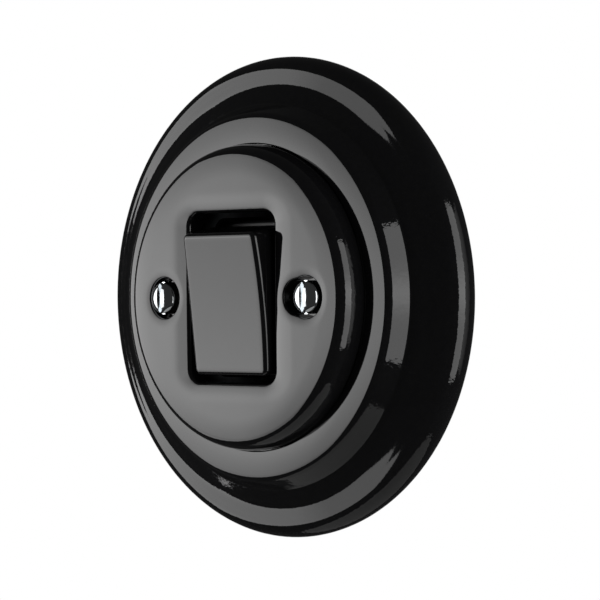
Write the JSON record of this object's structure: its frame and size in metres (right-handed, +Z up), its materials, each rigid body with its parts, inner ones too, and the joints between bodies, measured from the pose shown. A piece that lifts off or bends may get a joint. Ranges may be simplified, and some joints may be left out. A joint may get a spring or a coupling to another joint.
{
  "type": "porcelain intermediate switch",
  "caption": "Flush-mounted round intermediate rocker switch with a glazed porcelain frame and cover and a crossover contact mechanism.",
  "frame": {"origin": "middle of the two wall-box screws, on the wall behind the mounting plate", "axes": "-Y out of the wall towards the user, +Z up, +X to the user's right"},
  "size_m": [0.1, 0.0458, 0.1],
  "materials": {
    "black_glaze": "glazed",
    "rocker_black": "gloss",
    "black_moulding": "moulded",
    "natural_moulding": "moulded",
    "base_moulding": "moulded",
    "zinc_plate": "zinc plated",
    "steel": "zinc plated",
    "spring_steel": "drawn wire",
    "chrome": "chrome plated",
    "brass": "pressed"
  },
  "bodies": {
    "fixed": {"cover": "black_glaze", "cover_screw_left": "chrome", "cover_screw_right": "chrome", "crossover_strip_lower": "brass", "crossover_strip_upper": "brass", "housing_screw_lower_left": "steel", "housing_screw_lower_right": "steel", "housing_screw_upper_left": "steel", "housing_screw_upper_right": "steel", "lever_support_left": "brass", "lever_support_right": "brass", "mechanism_housing": "black_moulding", "mounting_plate": "zinc_plate", "outer_frame": "black_glaze", "screw_bush_left": "brass", "screw_bush_right": "brass", "switch_base": "base_moulding", "terminal_clamp_lower_left": "steel", "terminal_clamp_lower_right": "steel", "terminal_clamp_upper_left": "steel", "terminal_clamp_upper_right": "steel", "terminal_screw_lower_left": "steel", "terminal_screw_lower_right": "steel", "terminal_screw_upper_left": "steel", "terminal_screw_upper_right": "steel"},
    "rocker": {"rocker": "rocker_black", "rocker_carrier": "natural_moulding", "rocker_axle": "steel", "plunger_spring_left": "spring_steel", "plunger_spring_right": "spring_steel"},
    "plunger_left": {"plunger_left": "natural_moulding"},
    "plunger_right": {"plunger_right": "natural_moulding"},
    "lever_left": {"contact_lever_left": "brass"},
    "lever_right": {"contact_lever_right": "brass"}
  },
  "joints": [
    {"name": "rocker_hinge", "type": "hinge", "parent": "fixed", "child": "rocker", "pos_m": [0, -0.0106, 0], "axis": [-1, 0, 0], "range_deg": [0, 15.4]},
    {"name": "plunger_slide_left", "type": "slide", "parent": "rocker", "child": "plunger_left", "axis": [0, -0.991, -0.134], "range_m": [0, 0.0005], "stiffness_N_per_m": 400, "springref_m": -0.001, "deforming": ["plunger_spring_left"]},
    {"name": "lever_hinge_left", "type": "hinge", "parent": "fixed", "child": "lever_left", "pos_m": [-0.006, 0.0052, 0], "axis": [1, 0, 0], "range_deg": [0, 15.4]},
    {"name": "plunger_slide_right", "type": "slide", "parent": "rocker", "child": "plunger_right", "axis": [0, -0.991, -0.134], "range_m": [0, 0.0005], "stiffness_N_per_m": 400, "springref_m": -0.001, "deforming": ["plunger_spring_right"]},
    {"name": "lever_hinge_right", "type": "hinge", "parent": "fixed", "child": "lever_right", "pos_m": [0.006, 0.0052, 0], "axis": [1, 0, 0], "range_deg": [0, 15.4]}
  ],
  "couplings": [
    {"joint": "lever_hinge_left", "follows": "rocker_hinge", "ratio": 1},
    {"joint": "lever_hinge_right", "follows": "rocker_hinge", "ratio": 1}
  ]
}
